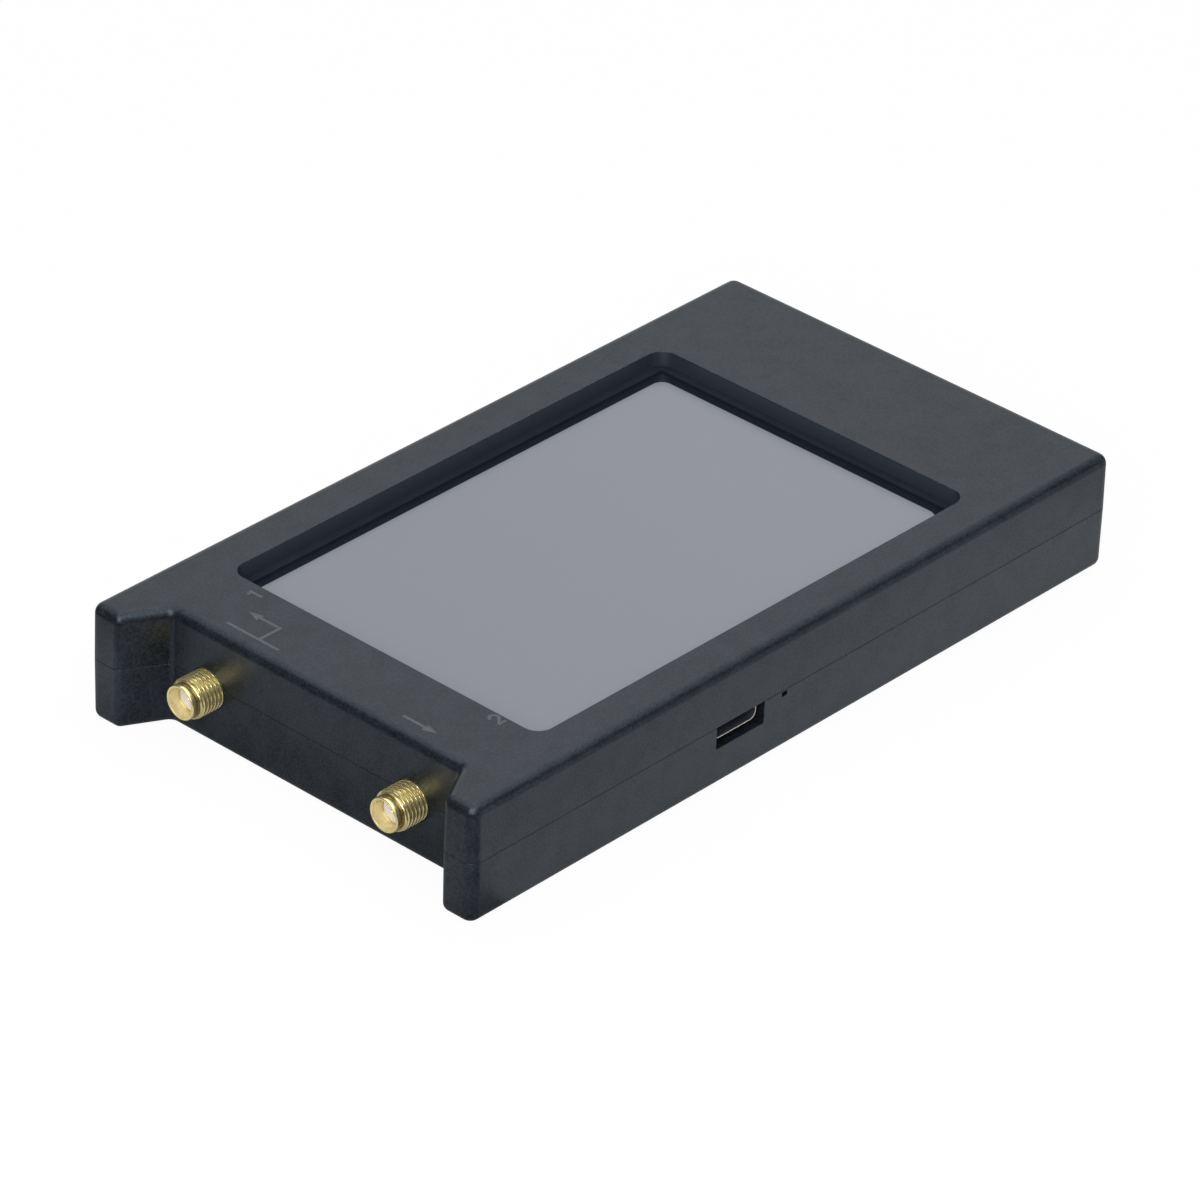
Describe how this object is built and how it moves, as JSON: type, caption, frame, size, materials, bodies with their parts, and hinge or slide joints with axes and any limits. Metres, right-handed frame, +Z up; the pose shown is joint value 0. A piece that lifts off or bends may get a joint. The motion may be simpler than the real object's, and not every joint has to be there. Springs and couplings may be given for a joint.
{
  "type": "vector network analyzer",
  "caption": "Handheld vector network analyzer: flat moulded housing with a recessed touch screen, gold coaxial jacks between guard horns at one end, a jog lever and a slide switch.",
  "frame": {"origin": "middle of the housing's underside, on the plane that it rests on", "axes": "+X along the long axis, away from the coaxial ports; +Y across, towards the jog lever and the power switch; +Z up, out of the screen"},
  "size_m": [0.1364, 0.0782, 0.019],
  "materials": {
    "housing": "charcoal moulded plastic with a fine spark texture",
    "screw_steel": "zinc plated steel",
    "board": "black solder mask over glass laminate",
    "gold_plate": "gold plated turned brass",
    "insulator": "white fluoropolymer",
    "bright_steel": "tinned stamped steel",
    "black_plastic": "satin black moulding",
    "white_plastic": "natural nylon",
    "light_lens": "clear resin over a pale die",
    "foam": "dark closed cell foam",
    "touch_glass": "anti-glare touch panel over an unlit grey display",
    "display": "polarizer film on thin glass",
    "tray": "white light guide frame",
    "tape": "double-sided foam tape",
    "ribbon": "amber polyimide film",
    "pouch": "foil pouch",
    "red_wire": "silicone insulation",
    "black_wire": "silicone insulation",
    "chip": "moulded epoxy",
    "ferrite": "dull ferrite"
  },
  "bodies": {
    "housing": {"lower_shell": "housing", "upper_shell": "housing", "case_screw_1": "screw_steel", "case_screw_2": "screw_steel", "case_screw_3": "screw_steel", "case_screw_4": "screw_steel", "main_board": "board", "port_1_jack_body": "gold_plate", "port_1_insulator": "insulator", "port_1_contact": "gold_plate", "port_2_jack_body": "gold_plate", "port_2_insulator": "insulator", "port_2_contact": "gold_plate", "usb_shell": "bright_steel", "usb_tongue": "black_plastic", "status_light": "light_lens", "power_switch_housing": "bright_steel", "jog_switch_housing": "black_plastic", "card_socket_shell": "bright_steel", "card_socket_base": "black_plastic", "screen_gasket": "foam", "touch_panel": "touch_glass", "display_panel": "display", "display_tray": "tray", "display_tape": "tape", "display_ribbon": "ribbon", "display_connector": "white_plastic", "touch_ribbon": "ribbon", "touch_connector": "white_plastic", "battery_cell": "pouch", "battery_tape": "tape", "battery_header": "white_plastic", "battery_plug": "white_plastic", "battery_lead_red": "red_wire", "battery_lead_black": "black_wire", "shield_can_1": "bright_steel", "shield_can_2": "bright_steel", "shield_can_3": "bright_steel", "mixer_1": "chip", "mixer_2": "chip", "mixer_3": "chip", "processor": "chip", "audio_codec": "chip", "clock_generator": "chip", "reference_crystal": "bright_steel", "charger_chip": "chip", "power_inductor": "ferrite"},
    "power_knob": {"power_switch_knob": "black_plastic"},
    "jog_slider": {"jog_slider": "bright_steel"},
    "jog_lever": {"jog_lever": "black_plastic"}
  },
  "joints": [
    {"name": "power_slide", "type": "slide", "parent": "housing", "child": "power_knob", "axis": [1, 0, 0], "range_m": [0, 0.002]},
    {"name": "jog_press", "type": "slide", "parent": "housing", "child": "jog_slider", "axis": [0, -1, 0], "range_m": [0, 0.0005], "stiffness_N_per_m": 1600},
    {"name": "jog_rock", "type": "hinge", "parent": "jog_slider", "child": "jog_lever", "pos_m": [-0.017, 0.0309, 0.0079], "axis": [0, 0, 1], "range_deg": [-10, 10], "stiffness_Nm_per_rad": 0.04}
  ]
}
